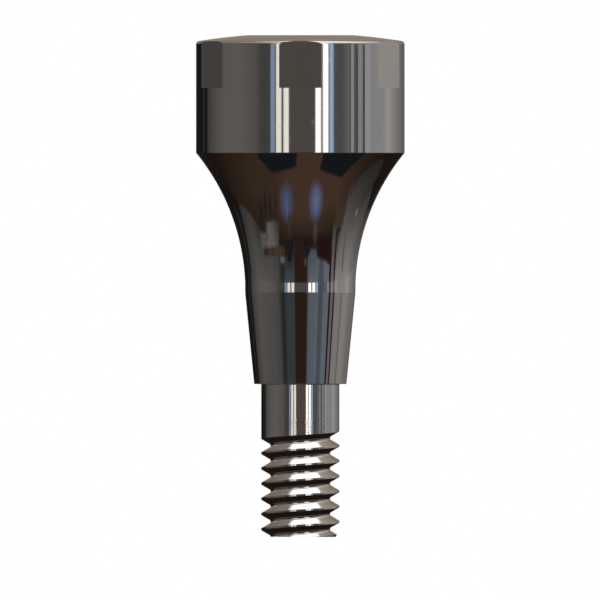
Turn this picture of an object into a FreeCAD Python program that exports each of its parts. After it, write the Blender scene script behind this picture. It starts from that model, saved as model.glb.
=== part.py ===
import FreeCAD, Part
import math
import os

# Magnetic abutment for a dental implant, in millimetres.
# The post is turned from one bar of titanium alloy. From the bottom up it has a fine
# screw thread, a plain shank, a self-locking cone, a cylindrical band, a concave flare
# and a round head with six driver flats. A magnet lies in a blind pocket in the head,
# under a domed lid that is welded in.
# The axis is +Z. The origin is on the axis, level with the implant's rim: the cone,
# the shank and the thread are below it, inside the implant.

# Stem below the implant's rim
cone_top_r = 1.27
cone_bottom_r = 1.062
cone_length = 2.107
shank_length = 1.209
thread_length = 2.308

# Screw thread M1.8 x 0.35, right-handed, single start
thread_major_r = 0.90
thread_pitch = 0.35
thread_crest_flat = thread_pitch / 8
thread_depth = 0.6134 * thread_pitch
thread_half_angle = 30.0
full_depth_azimuth = 40.0
run_out_turn = 0.25
end_chamfer_width = 0.085
end_chamfer_length = 0.147

# Band and flare between the rim and the head
band_length = 0.216
flare_length = 2.995
flare_r = 5.04

# Head
head_r = 2.40
head_height = 2.711
head_edge_round = 0.08
flat_count = 6
flats_across = 4.70
flats_length = 1.213
first_flat_azimuth = -90.0

# Domed top with its flat middle
dome_r = 15.2
plateau_r = 1.21

# Magnet pocket and lid
head_wall = 0.45
pocket_depth = 1.90
pocket_corner_r = 0.06
lid_ledge = 0.15
lid_thickness = 0.422
weld_gap = 0.01

# Magnet
magnet_side_gap = 0.02
magnet_top_gap = 0.02
magnet_chamfer = 0.10

# How far a cutter reaches past the surface that it cuts, and how closely two cutters meet
thread_overshoot = 0.02
flats_overshoot = 0.50
join_tolerance = 0.0001

# Levels along the axis
cone_bottom_z = -cone_length
groove_top_z = cone_bottom_z - shank_length
thread_end_z = groove_top_z - thread_length
head_bottom_z = band_length + flare_length
top_z = head_bottom_z + head_height
dome_centre_z = top_z - math.sqrt(dome_r**2 - plateau_r**2)
flats_bottom_z = top_z - flats_length
lid_seat_z = top_z - lid_thickness
pocket_floor_z = lid_seat_z - pocket_depth

# Radii that follow from the wall and the clearances
pocket_r = head_r - head_wall
lid_recess_r = pocket_r + lid_ledge
lid_r = lid_recess_r - weld_gap
magnet_r = pocket_r - magnet_side_gap
magnet_height = pocket_depth - magnet_top_gap

AXIS = FreeCAD.Vector(0, 0, 1)
ORIGIN = FreeCAD.Vector(0, 0, 0)


def point(r, z):
    """A point of a half section, which lies in the XZ plane."""
    return FreeCAD.Vector(r, 0, z)


def line(start, end):
    return Part.LineSegment(start, end).toShape()


def arc(start, end, centre, radius):
    """The shorter arc between two points about a centre."""
    middle = (start + end) * 0.5 - centre
    middle.normalize()
    return Part.Arc(start, centre + middle * radius, end).toShape()


def revolve(edges):
    """A solid of revolution from the closed chain of a half section's edges."""
    return Part.Face(Part.Wire(edges)).revolve(ORIGIN, AXIS, 360)


def dome_point(r):
    return point(r, dome_centre_z + math.sqrt(dome_r**2 - r**2))


def flare_edge():
    """The concave arc from the band up to the head, with its centre outside."""
    low = point(cone_top_r, band_length)
    high = point(head_r, head_bottom_z)
    chord = high - low
    outward = FreeCAD.Vector(chord.z, 0, -chord.x)
    outward.normalize()
    centre = (low + high) * 0.5 + outward * math.sqrt(flare_r**2 - (chord.Length / 2)**2)
    return arc(low, high, centre, flare_r)


def head_edge_arc():
    """The small round between the head's side and its dome, and its two ends."""
    dome_centre = point(0, dome_centre_z)
    reach = dome_r - head_edge_round
    centre_r = head_r - head_edge_round
    centre = point(centre_r, dome_centre_z + math.sqrt(reach**2 - centre_r**2))
    on_side = point(head_r, centre.z)
    direction = centre - dome_centre
    direction.normalize()
    on_dome = dome_centre + direction * dome_r
    return arc(on_side, on_dome, centre, head_edge_round), on_side, on_dome


def dome_edge(start, end):
    return arc(start, end, point(0, dome_centre_z), dome_r)


def post_blank():
    """The post before its thread and its flats, with the pocket for the magnet."""
    edge_round, on_side, on_dome = head_edge_arc()
    recess_top = dome_point(lid_recess_r)
    corner_centre = point(pocket_r - pocket_corner_r, pocket_floor_z + pocket_corner_r)
    corner_on_wall = point(pocket_r, corner_centre.z)
    corner_on_floor = point(corner_centre.x, pocket_floor_z)
    stem = [
        point(0, thread_end_z),
        point(thread_major_r - end_chamfer_width, thread_end_z),
        point(thread_major_r, thread_end_z + end_chamfer_length),
        point(thread_major_r, cone_bottom_z),
        point(cone_bottom_r, cone_bottom_z),
        point(cone_top_r, 0),
        point(cone_top_r, band_length),
    ]
    edges = [line(start, end) for start, end in zip(stem, stem[1:])]
    edges += [
        flare_edge(),
        line(point(head_r, head_bottom_z), on_side),
        edge_round,
        dome_edge(on_dome, recess_top),
        line(recess_top, point(lid_recess_r, lid_seat_z)),
        line(point(lid_recess_r, lid_seat_z), point(pocket_r, lid_seat_z)),
        line(point(pocket_r, lid_seat_z), corner_on_wall),
        arc(corner_on_wall, corner_on_floor, corner_centre, pocket_corner_r),
        line(corner_on_floor, point(0, pocket_floor_z)),
        line(point(0, pocket_floor_z), point(0, thread_end_z)),
    ]
    return revolve(edges)


def groove_section(azimuth, z):
    """The cutter's outline: a 60 degree V with a flat tip, centred at a level."""
    tangent = math.tan(math.radians(thread_half_angle))
    crest_half = (thread_pitch - thread_crest_flat) / 2
    root_half = crest_half - thread_depth * tangent
    outer_half = crest_half + thread_overshoot * tangent
    root_r = thread_major_r - thread_depth
    outer_r = thread_major_r + thread_overshoot
    corners = [
        point(root_r, z - root_half),
        point(outer_r, z - outer_half),
        point(outer_r, z + outer_half),
        point(root_r, z + root_half),
    ]
    outline = Part.makePolygon(corners + corners[:1])
    outline.rotate(ORIGIN, AXIS, azimuth)
    return outline


def groove(start_z, height, cone_angle):
    """A helical cutter that starts at the azimuth where the full depth ends."""
    root_r = thread_major_r - thread_depth
    slant = 1 / math.cos(math.radians(cone_angle))
    path = Part.makeHelix(thread_pitch * slant, height * slant, root_r, cone_angle)
    path.translate(point(0, start_z))
    path.rotate(ORIGIN, AXIS, full_depth_azimuth)
    section = groove_section(full_depth_azimuth, start_z)
    make_solid, follow_helix = True, True
    return Part.Wire(path.Edges).makePipeShell([section], make_solid, follow_helix)


def thread_cutters():
    """The full groove, which leaves through the end face, and its run-out at the top."""
    turns = math.ceil(thread_length / thread_pitch) + 1
    full_height = turns * thread_pitch
    run_out_height = run_out_turn * thread_pitch
    lift = thread_depth + thread_overshoot
    run_out_angle = math.degrees(math.atan(lift / run_out_height))
    full = groove(groove_top_z - full_height, full_height, 0)
    run_out = groove(groove_top_z, run_out_height, run_out_angle)
    return [full, run_out]


def flats_cutter():
    """A ring with a hexagonal hole, which leaves the six driver flats."""
    height = top_z - flats_bottom_z + flats_overshoot
    ring = Part.makeCylinder(head_r + flats_overshoot, height, point(0, flats_bottom_z))
    corner_r = flats_across / 2 / math.cos(math.pi / flat_count)
    corners = []
    for index in range(flat_count + 1):
        azimuth = math.radians(first_flat_azimuth) + (2 * index + 1) * math.pi / flat_count
        corners.append(FreeCAD.Vector(corner_r * math.cos(azimuth), corner_r * math.sin(azimuth), flats_bottom_z))
    prism = Part.Face(Part.makePolygon(corners)).extrude(FreeCAD.Vector(0, 0, height))
    return ring.cut(prism)


def make_abutment_body():
    """The two thread cutters meet at a face, so they cut in one operation."""
    return post_blank().cut(flats_cutter()).cut(thread_cutters(), join_tolerance)


def make_magnet():
    blank = Part.makeCylinder(magnet_r, magnet_height, point(0, pocket_floor_z))
    rims = [edge for edge in blank.Edges if isinstance(edge.Curve, Part.Circle)]
    return blank.makeChamfer(magnet_chamfer, rims)


def make_lid():
    rim_top = dome_point(lid_r)
    plateau_rim = point(plateau_r, top_z)
    return revolve([
        line(point(0, lid_seat_z), point(lid_r, lid_seat_z)),
        line(point(lid_r, lid_seat_z), rim_top),
        dome_edge(rim_top, plateau_rim),
        line(plateau_rim, point(0, top_z)),
        line(point(0, top_z), point(0, lid_seat_z)),
    ])


nodes = {
    "abutment_body": make_abutment_body(),
    "magnet": make_magnet(),
    "lid": make_lid(),
}

os.makedirs("parts", exist_ok=True)
for name, shape in nodes.items():
    solid = shape.Solids[0]
    print(name, "solids", len(shape.Solids), "valid", solid.isValid(), "volume", round(solid.Volume, 4))
    solid.exportStep(f"parts/{name}.step")
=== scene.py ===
import math

import bpy
import numpy as np
from bpy.props import FloatProperty, FloatVectorProperty, IntProperty, PointerProperty
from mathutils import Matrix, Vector


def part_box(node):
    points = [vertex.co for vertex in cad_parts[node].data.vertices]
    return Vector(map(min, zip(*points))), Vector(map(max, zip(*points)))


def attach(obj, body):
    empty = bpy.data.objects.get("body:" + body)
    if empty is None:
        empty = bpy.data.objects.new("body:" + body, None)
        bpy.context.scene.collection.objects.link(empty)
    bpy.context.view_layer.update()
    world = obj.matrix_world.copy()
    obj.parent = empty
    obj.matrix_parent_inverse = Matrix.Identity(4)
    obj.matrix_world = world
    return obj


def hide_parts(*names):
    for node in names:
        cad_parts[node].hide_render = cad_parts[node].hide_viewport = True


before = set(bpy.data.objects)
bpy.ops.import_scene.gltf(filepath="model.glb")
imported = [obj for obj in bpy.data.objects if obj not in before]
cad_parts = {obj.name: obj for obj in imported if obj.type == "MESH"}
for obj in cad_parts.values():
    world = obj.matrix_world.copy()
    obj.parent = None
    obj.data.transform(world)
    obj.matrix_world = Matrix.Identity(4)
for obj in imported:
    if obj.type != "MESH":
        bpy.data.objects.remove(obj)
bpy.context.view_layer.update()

bl_info = {
    "name": "Magnetic abutment",
    "version": (1, 0, 0),
    "blender": (4, 5, 0),
    "location": "3D View > Sidebar > Abutment",
    "description": "Builds a threaded titanium abutment with its sealed magnet, and a small studio round it",
    "category": "Add Mesh",
}

MM = 0.001
FLOOR_CLEARANCE = 0.002 * MM

# The photograph's frame: its width, its middle measured from the axis and the rim, and the camera
FRAME_WIDTH = 13.806 * MM
FRAME_MIDDLE = (-0.0069 * MM, -0.1726 * MM)
CAMERA_DISTANCE = 0.2


# Settings in the sidebar


def length(name, millimetres, description):
    """A length that is written in millimetres here and kept in metres."""
    return FloatProperty(
        name=name, description=description, default=millimetres * MM, min=0.0, precision=6, unit="LENGTH"
    )


def angle(name, degrees, description):
    return FloatProperty(name=name, description=description, default=math.radians(degrees), unit="ROTATION")


def tone(name, rgb, description):
    """A linear colour, which may be brighter than white where it is a light."""
    return FloatVectorProperty(
        name=name, description=description, default=rgb, size=3, min=0.0, soft_max=2.0, subtype="COLOR"
    )


def share(name, value, description):
    return FloatProperty(
        name=name, description=description, default=value, min=0.0, max=1.0, subtype="FACTOR"
    )


def brightness(name, value, description):
    return FloatProperty(name=name, description=description, default=value, min=0.0)


class PostSizes(bpy.types.PropertyGroup):
    cone_top_r: length("Cone top radius", 1.27, "Radius of the cone and the band at the implant's rim")
    cone_bottom_r: length("Cone bottom radius", 1.062, "Radius of the cone's lower end")
    cone_length: length("Cone length", 2.107, "Height of the self-locking cone")
    shank_length: length("Shank length", 1.209, "Plain part between the cone and the first full groove")
    thread_length: length("Thread length", 2.308, "From the first full groove to the end face")
    thread_major_r: length("Thread radius", 0.90, "Radius of the thread's crests and of the plain shank")
    thread_pitch: length("Thread pitch", 0.35, "Rise of the thread in one turn")
    thread_depth: length("Thread depth", 0.21469, "From the crests to the root")
    thread_half_angle: angle("Flank angle", 30.0, "Angle between a flank and the plane across the axis")
    run_out_start: angle("Run-out start", 33.0, "Azimuth where the groove starts to leave the shank")
    run_out_turn: share("Run-out turn", 0.25, "Share of a turn in which the tool leaves the shank")
    tool_lift: length("Tool lift", 0.23469, "How far the tool lifts over the run-out")
    end_chamfer_width: length("End chamfer width", 0.085, "How far the chamfer takes back the end face")
    end_chamfer_length: length("End chamfer length", 0.147, "Height of the chamfer at the thread's end")
    band_length: length("Band length", 0.216, "Cylindrical band between the cone and the flare")
    flare_length: length("Flare length", 2.995, "Height of the concave flare")
    flare_r: length("Flare radius", 5.04, "Radius of the flare's arc")
    head_r: length("Head radius", 2.40, "Radius of the round head")
    head_height: length("Head height", 2.711, "From the flare to the flat middle of the top")
    head_edge_round: length("Head edge round", 0.08, "Round between the head's side and its top")
    flat_half_width: length("Flat distance", 2.35, "From the axis to each driver flat")
    flats_length: length("Flats length", 1.213, "From the flats' lower ends to the flat middle of the top")
    dome_r: length("Dome radius", 15.2, "Radius of the domed top")
    plateau_r: length("Plateau radius", 1.21, "Radius of the flat middle of the top")
    edge_break: length("Edge break", 0.012, "How far the polishing takes back each corner")


class InsideSizes(bpy.types.PropertyGroup):
    pocket_r: length("Pocket radius", 1.95, "Radius of the magnet's pocket")
    pocket_floor: length("Pocket floor level", 3.60, "Level of the pocket's floor above the rim")
    pocket_corner_r: length("Pocket corner radius", 0.06, "Round between the pocket's wall and floor")
    lid_seat: length("Lid level", 5.50, "Level of the ledge that carries the lid")
    recess_r: length("Recess radius", 2.10, "Radius of the recess for the lid")
    lid_r: length("Lid radius", 2.09, "Radius of the welded lid")
    magnet_r: length("Magnet radius", 1.93, "Radius of the magnet")
    magnet_height: length("Magnet height", 1.88, "Height of the magnet")
    magnet_chamfer: length("Magnet chamfer", 0.10, "Width of the magnet's chamfers")


class FinishTones(bpy.types.PropertyGroup):
    titanium: tone("Titanium", (0.54, 0.50, 0.46), "Reflected colour of the polished titanium")
    lid_titanium: tone("Lid titanium", (0.55, 0.50, 0.455), "Reflected colour of the lid")
    heat_tint: tone("Heat tint", (0.50, 0.41, 0.30), "Straw colour beside the weld")
    magnet: tone("Magnet", (0.30, 0.29, 0.28), "Colour of the ground samarium cobalt")
    polish: share("Polish roughness", 0.055, "Roughness of the polished outside")
    turned: share("Turned roughness", 0.075, "Roughness of the thread as it was cut")
    line_depth: share("Line strength", 0.05, "How strongly the fine machining lines show")


class StudioSettings(bpy.types.PropertyGroup):
    floor: tone("Floor", (0.88, 0.88, 0.87), "Colour of the pale floor")
    sky_light: share("Soft light", 0.72, "Even light, where 1 shows a colour as it is written")
    key_light: brightness("Key light", 0.75, "Strength of the main soft lamp")
    fill_light: brightness("Fill light", 0.25, "Strength of the second soft lamp")
    daylight: tone("Daylight", (2.15, 2.2, 2.35), "The bright light panels")
    card_distance: length("Card distance", 600.0, "Distance of the studio's cards")
    columns: IntProperty(
        name="Columns", description="Mesh columns round the axis", default=240, min=48, max=360
    )


# Shader graphs

# The height of a bump of 1
BUMP_UNIT = 0.01 * MM
# How far inside the weld the lid's straw tint starts and how far it is full, in millimetres
HEAT_START = 0.16
HEAT_FULL = 0.03


class Signal:
    """One output of a graph's node. Arithmetic on signals and numbers adds Math nodes."""

    def __init__(self, graph, socket):
        self.graph = graph
        self.socket = socket

    def also(self, name):
        """Another output of the same node."""
        return Signal(self.graph, self.socket.node.outputs[name])

    def math(self, operation, *inputs, clamp=False):
        settings = {"operation": operation, "use_clamp": clamp}
        return self.graph.add("ShaderNodeMath", settings, dict(enumerate(inputs)))

    def __add__(self, other):
        return self.math("ADD", self, other)

    def __sub__(self, other):
        return self.math("SUBTRACT", self, other)

    def __rsub__(self, other):
        return self.math("SUBTRACT", other, self)

    def __mul__(self, other):
        return self.math("MULTIPLY", self, other)

    __radd__ = __add__
    __rmul__ = __mul__

    def __abs__(self):
        return self.math("ABSOLUTE", self)

    def ramp(self, low, high):
        """0 below the first value, 1 above the second, and smooth between them."""
        inputs = {"Value": self, "From Min": low, "From Max": high}
        return self.graph.add("ShaderNodeMapRange", {"interpolation_type": "SMOOTHSTEP"}, inputs)


class Graph:
    """A node tree in the making."""

    def __init__(self, tree):
        self.tree = tree
        tree.nodes.clear()

    def add(self, kind, settings=None, inputs=None, output=0):
        """Adds a node, applies its settings, fills or links its sockets and returns one output."""
        node = self.tree.nodes.new(kind)
        for name, value in (settings or {}).items():
            setattr(node, name, value)
        for key, value in (inputs or {}).items():
            if isinstance(value, Signal):
                self.tree.links.new(value.socket, node.inputs[key])
            else:
                node.inputs[key].default_value = value
        return Signal(self, node.outputs[output]) if len(node.outputs) else node

    def blend(self, factor, first, second):
        """A mix of two colours, each a linear RGB triple or a signal."""
        inputs = {"Factor": factor, 6: opaque(first), 7: opaque(second)}
        return self.add("ShaderNodeMix", {"data_type": "RGBA"}, inputs, output=2)

    def vector(self, operation, first, second):
        return self.add("ShaderNodeVectorMath", {"operation": operation}, {0: first, 1: second})

    def noise(self, position, scale, detail=2.0, roughness=0.5):
        inputs = {"Vector": position, "Scale": scale, "Detail": detail, "Roughness": roughness}
        return self.add("ShaderNodeTexNoise", None, inputs)


def opaque(colour):
    return colour if isinstance(colour, Signal) else (*colour, 1.0)


def shade(colour, part):
    """A darker tone of a colour."""
    return tuple(part * value for value in colour)


def new_material(name):
    material = bpy.data.materials.new(name)
    material.use_nodes = True
    return material, Graph(material.node_tree)


class Finish:
    """The coordinates and the closing nodes that the metal finishes share."""

    def __init__(self, name):
        self.material, self.graph = new_material(name)
        place = self.graph.add("ShaderNodeTexCoord", output="Object")
        self.place = self.graph.vector("MULTIPLY", place, (1 / MM, 1 / MM, 1 / MM))
        parts = self.graph.add("ShaderNodeSeparateXYZ", None, {0: self.place})
        self.x, self.y, self.z = parts, parts.also("Y"), parts.also("Z")
        across = self.x * self.x + self.y * self.y
        self.radius = across.math("SQRT", across)

    def along(self, round_scale, level_scale):
        """Coordinates that are stretched round the axis, so that noise on them runs in rings."""
        level = (self.z + self.radius) * level_scale
        inputs = {0: self.x * round_scale, 1: self.y * round_scale, 2: level}
        return self.graph.add("ShaderNodeCombineXYZ", None, inputs)

    def noise(self, **settings):
        """Noise on the piece's own coordinates."""
        return self.graph.noise(self.place, **settings)

    def lines(self, stretch):
        """Straight fine lines across the axis with the largest stretch."""
        stretched = self.graph.vector("MULTIPLY", self.place, stretch)
        return self.graph.noise(stretched, scale=1.0, roughness=0.6)

    def rings(self, round_scale, level_scale, detail=2.0):
        """Fine turning lines, about 0 to 1."""
        place = self.along(round_scale, level_scale)
        return self.graph.noise(place, scale=1.0, detail=detail, roughness=0.6)

    def hairlines(self, scale, width, stretch):
        """Thin scratches, 1 on a line and 0 elsewhere."""
        stretched = self.graph.vector("MULTIPLY", self.place, stretch)
        wave = abs(self.graph.noise(stretched, scale=scale, detail=1.0, roughness=0.4) - 0.5)
        patches = self.noise(scale=1.7, detail=1.0).ramp(0.52, 0.60)
        return (1.0 - wave.ramp(0.0, width)) * patches

    def close(self, colour, roughness, height, bump_strength):
        """Adds the shader, with a bump whose height is in bump units."""
        graph = self.graph
        inputs = {"Strength": bump_strength, "Distance": BUMP_UNIT, "Height": height}
        bump = graph.add("ShaderNodeBump", None, inputs)
        inputs = {"Base Color": opaque(colour), "Metallic": 1.0, "Roughness": roughness, "Normal": bump}
        shader = graph.add("ShaderNodeBsdfPrincipled", None, inputs)
        graph.add("ShaderNodeOutputMaterial", None, {"Surface": shader})
        return self.material


def polished_titanium(tones):
    """Turned and polished: faint rings, soft cloudy variation and a few hairline scratches."""
    finish = Finish("polished_titanium")
    fine = finish.rings(round_scale=0.7, level_scale=55.0)
    broad = finish.rings(round_scale=0.35, level_scale=7.0, detail=1.0)
    clouds = finish.noise(scale=0.9, detail=3.0)
    scratches = finish.hairlines(scale=1.3, width=0.004, stretch=(1.0, 1.0, 3.5))
    roughness = tones.polish + (fine - 0.5) * 0.025 + (clouds - 0.5) * 0.03 + scratches * 0.05
    tint = (clouds * 0.6 + broad * 0.4).ramp(0.3, 0.7)
    colour = finish.graph.blend(tint, shade(tones.titanium, 0.965), tones.titanium)
    height = fine * 0.5 + broad * 0.5 - scratches * 0.6
    return finish.close(colour, roughness, height, tones.line_depth)


def milled_titanium(tones):
    """The driver flats: straight fine lines across each flat from the cutter's face."""
    finish = Finish("milled_titanium")
    lines = finish.lines(stretch=(0.8, 0.8, 48.0))
    clouds = finish.noise(scale=1.4, detail=2.0)
    roughness = tones.polish * 1.3 + (lines - 0.5) * 0.04 + (clouds - 0.5) * 0.03
    colour = finish.graph.blend(clouds.ramp(0.35, 0.65), shade(tones.titanium, 0.96), tones.titanium)
    return finish.close(colour, roughness, lines, tones.line_depth)


def turned_titanium(tones):
    """The thread as it was cut: tool lines along the flanks and a slight burnish on the crests."""
    finish = Finish("turned_titanium")
    lines = finish.rings(round_scale=1.2, level_scale=70.0)
    specks = finish.noise(scale=26.0, detail=2.0, roughness=0.6)
    # The crests lie at a radius of 0.90 mm, and the roots at 0.685 mm.
    crests = finish.radius.ramp(0.86, 0.90)
    roots = 1.0 - finish.radius.ramp(0.68, 0.74)
    roughness = tones.turned + (lines - 0.5) * 0.07 + (specks - 0.5) * 0.06 - crests * 0.05 + roots * 0.06
    colour = finish.graph.blend(specks.ramp(0.25, 0.6), shade(tones.titanium, 0.86), tones.titanium)
    height = lines * 0.7 + specks * 0.6
    return finish.close(colour, roughness, height, tones.line_depth * 2.4)


def lid_titanium(tones, inside):
    """Face-turned and polished, with a breath of straw colour beside the weld."""
    finish = Finish("lid_titanium")
    fine = finish.rings(round_scale=0.7, level_scale=60.0)
    broad = finish.rings(round_scale=0.35, level_scale=6.0, detail=1.0)
    clouds = finish.noise(scale=1.1, detail=3.0)
    scratches = finish.hairlines(scale=1.1, width=0.004, stretch=(2.6, 1.0, 1.0))
    weld_r = inside.lid_r / MM
    heat = finish.radius.ramp(weld_r - HEAT_START, weld_r - HEAT_FULL) * (0.3 + clouds * 0.5)
    colour = finish.graph.blend(heat, tones.lid_titanium, tones.heat_tint)
    roughness = tones.polish + (fine - 0.5) * 0.03 + (clouds - 0.5) * 0.03 + scratches * 0.05
    height = fine * 0.5 + broad * 0.5 - scratches * 0.6
    return finish.close(colour, roughness, height, tones.line_depth)


def magnet_alloy(tones):
    """Sintered and ground: a dull grey with fine grains and straight grinding lines."""
    finish = Finish("magnet_alloy")
    grains = finish.noise(scale=22.0, detail=4.0, roughness=0.65)
    lines = finish.lines(stretch=(1.0, 40.0, 1.0))
    colour = finish.graph.blend(grains.ramp(0.3, 0.6), shade(tones.magnet, 0.55), tones.magnet)
    roughness = 0.38 + (grains - 0.5) * 0.3 + (lines - 0.5) * 0.1
    return finish.close(colour, roughness, grains * 0.6 + lines * 0.4, 0.35)


# Meshes of revolution

# Steps of the curved parts of a section
CORNER_STEPS = 3
CREST_STEPS = 2
ROOT_STEPS = 5
CONE_STEPS = 4
FLARE_STEPS = 56
EDGE_ROUND_STEPS = 8
LAND_STEPS = 6
POCKET_CORNER_STEPS = 6
DOME_STEPS = 16
PLATEAU_STEPS = 3
MAGNET_COLUMNS = 120

# How far softened corners are taken back, in millimetres, and their largest share of a flank
CREST_SOFT = 0.004
ROOT_SOFT = 0.027
SHARE_OF_FLANK = 0.3
SHOULDER_SOFT = 0.02
WELD_EDGE_SOFT = 0.003
LID_CORNER_SOFT = 0.004
PLATEAU_SOFT = 0.03
MAGNET_SOFT = 0.02

# Rings round the fans that close the flat ends: distances from the edge, and the radius on the plateau
LID_FAN_INSET = 0.2
MAGNET_FAN_INSET = 0.3
PLATEAU_FAN_R = 0.3

# The thread: its least depth, the grooves past its length, and the ring above it in pitches
LEAST_GROOVE = 0.02
SPARE_GROOVES = 1.5
SHANK_RING_PITCHES = 1.6

# Angles and levels that are closer than these count as the same
SAME_ANGLE = 1e-6
SAME_LEVEL = 0.0005

# How far a piece's box may be off the box of its node
BOX_TOLERANCE = 0.02 * MM


class Draft:
    """The points, faces and exact corner normals of a closed mesh in the making, in millimetres."""

    def __init__(self, azimuths):
        self.azimuths = azimuths
        self.cosines = np.cos(azimuths)
        self.sines = np.sin(azimuths)
        self.points = []
        self.faces = []
        self.normals = []
        self.slots = []

    def point(self, x, y, z):
        self.points.append((float(x), float(y), float(z)))
        return len(self.points) - 1

    def ring(self, radius, level):
        """One point on each azimuth. The radius and the level are numbers or one value for each azimuth."""
        radii = np.broadcast_to(radius, self.azimuths.shape)
        levels = np.broadcast_to(level, self.azimuths.shape)
        rows = zip(radii * self.cosines, radii * self.sines, levels)
        return np.array([self.point(*row) for row in rows])

    def outward(self, side, up):
        """Unit normals from a radial and an axial part, one for each azimuth."""
        side = np.broadcast_to(side, self.azimuths.shape)
        up = np.broadcast_to(up, self.azimuths.shape)
        return unit(np.column_stack((side * self.cosines, side * self.sines, up)))

    def face(self, corners, normals, slot=0):
        """Adds a face without the corners that repeat the one before, if three or more are left."""
        kept = [k for k in range(len(corners)) if corners[k] != corners[k - 1]]
        if len(kept) > 2:
            self.faces.append([int(corners[k]) for k in kept])
            self.normals.extend(tuple(normals[k]) for k in kept)
            self.slots.append(slot)

    def band(self, lower, upper, lower_normals, upper_normals, slot=0):
        """Faces between two rings, closed round the axis."""
        for j in range(len(lower)):
            k = (j + 1) % len(lower)
            corners = (lower[j], lower[k], upper[k], upper[j])
            normals = (lower_normals[j], lower_normals[k], upper_normals[k], upper_normals[j])
            self.face(corners, normals, slot)

    def cap(self, ring, level, up, slot=0):
        """A fan from a ring to the axis, which faces up where up is 1 and down where it is -1."""
        centre = self.point(0, 0, level)
        normals = [(0, 0, up)] * 3
        for j in range(len(ring)):
            pair = (ring[j], ring[(j + 1) % len(ring)])
            self.face((*pair[::up], centre), normals, slot)

    def revolve(self, ring, runs, slot=0):
        """Carries a ring along a section's runs and returns the last ring."""
        for run in runs:
            for start, end in zip(run, run[1:]):
                above = self.ring(end[0], end[1])
                self.band(ring, above, self.outward(*start[2:]), self.outward(*end[2:]), slot)
                ring = above
        return ring

    def check_closed(self, name):
        """Each edge of a closed mesh lies between two faces that run along it in opposite directions."""
        sides = set()
        for corners in self.faces:
            for start, end in zip(corners, corners[1:] + corners[:1]):
                if (start, end) in sides:
                    raise RuntimeError(f"{name} has an edge that two faces follow the same way")
                sides.add((start, end))
        if any((end, start) not in sides for start, end in sides):
            raise RuntimeError(f"{name} is open")

    def to_object(self, name, materials):
        self.check_closed(name)
        mesh = bpy.data.meshes.new(name)
        mesh.from_pydata([tuple(MM * part for part in point) for point in self.points], [], self.faces)
        for material in materials:
            mesh.materials.append(material)
        mesh.polygons.foreach_set("material_index", self.slots)
        mesh.shade_smooth()
        mesh.normals_split_custom_set(self.normals)
        return new_object(name, mesh)


def new_object(name, data):
    """An object with this data, linked to the scene."""
    made = bpy.data.objects.new(name, data)
    bpy.context.scene.collection.objects.link(made)
    return made


def unit(vectors):
    return vectors / np.linalg.norm(vectors, axis=-1, keepdims=True)


def outer_normal(direction):
    """The outward side of a section's line: the section runs up on the outside."""
    run = unit(np.array(direction, float))
    return run[1], -run[0]


class Section:
    """Half of a section through the axis, as lines and arcs with softened corners."""

    def __init__(self, r, z):
        self.at = np.array((r, z), float)
        self.parts = []

    def line_to(self, r, z, soft=0.0, steps=1):
        """A line, and how far its far corner is taken back."""
        self.add(r, z, None, soft, steps)

    def arc_to(self, r, z, centre, steps, soft=0.0):
        """The shorter arc about a centre, and how far its far corner is taken back."""
        self.add(r, z, np.array(centre, float), soft, steps)

    def add(self, r, z, centre, soft, steps):
        end = np.array((r, z), float)
        self.parts.append({"start": self.at, "end": end, "centre": centre, "soft": soft, "steps": steps})
        self.at = end

    def runs(self):
        """Runs of (r, z, radial normal, axial normal), with a short curve at each soft corner."""
        runs = []
        for index, part in enumerate(self.parts):
            before = self.parts[index - 1]["soft"] if index else 0.0
            runs.append(sample_part(part, before, part["soft"]))
            if part["soft"] and index + 1 < len(self.parts):
                following = sample_part(self.parts[index + 1], part["soft"], self.parts[index + 1]["soft"])
                runs.append(corner_run(runs[-1][-1], part["end"], following[0]))
        return runs


def sample_part(part, cut_start, cut_end):
    """Points of a line or an arc and their normals, between the cuts at its ends."""
    start, end, centre, steps = part["start"], part["end"], part["centre"], part["steps"]
    if centre is None:
        run = end - start
        whole = np.linalg.norm(run)
        normal = outer_normal(run)
        shares = np.linspace(cut_start / whole, 1 - cut_end / whole, steps + 1)
        return [(*(start + run * share), *normal) for share in shares]
    spokes = [math.atan2(*(at - centre)[::-1]) for at in (start, end)]
    turn = (spokes[1] - spokes[0] + math.pi) % (2 * math.pi) - math.pi
    radius = np.linalg.norm(start - centre)
    whole = radius * abs(turn)
    facing = math.copysign(1.0, turn)
    rows = []
    for share in np.linspace(cut_start / whole, 1 - cut_end / whole, steps + 1):
        spoke = spokes[0] + turn * share
        side, up = math.cos(spoke), math.sin(spoke)
        rows.append((centre[0] + radius * side, centre[1] + radius * up, facing * side, facing * up))
    return rows


def soft_curve(first, corner, last, steps):
    """A curve past a corner, tangent to both its sides: the share of it, the point and the direction."""
    for share in np.linspace(0, 1, steps + 1):
        at = (1 - share) ** 2 * first + 2 * share * (1 - share) * corner + share**2 * last
        yield share, at, (1 - share) * (corner - first) + share * (last - corner)


def corner_run(before, corner, after):
    """A short curve from one part to the next, tangent to both."""
    curve = soft_curve(np.array(before[:2]), corner, np.array(after[:2]), CORNER_STEPS)
    return [(*at, *outer_normal(way)) for _, at, way in curve]


def in_mm(settings):
    """The group's lengths in millimetres, and its angles and shares as they are."""
    values = {}
    for name, prop in settings.bl_rna.properties.items():
        if prop.type == "FLOAT":
            value = getattr(settings, name)
            values[name] = value / MM if prop.unit == "LENGTH" else value
    return type("Sizes", (), values)


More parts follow.
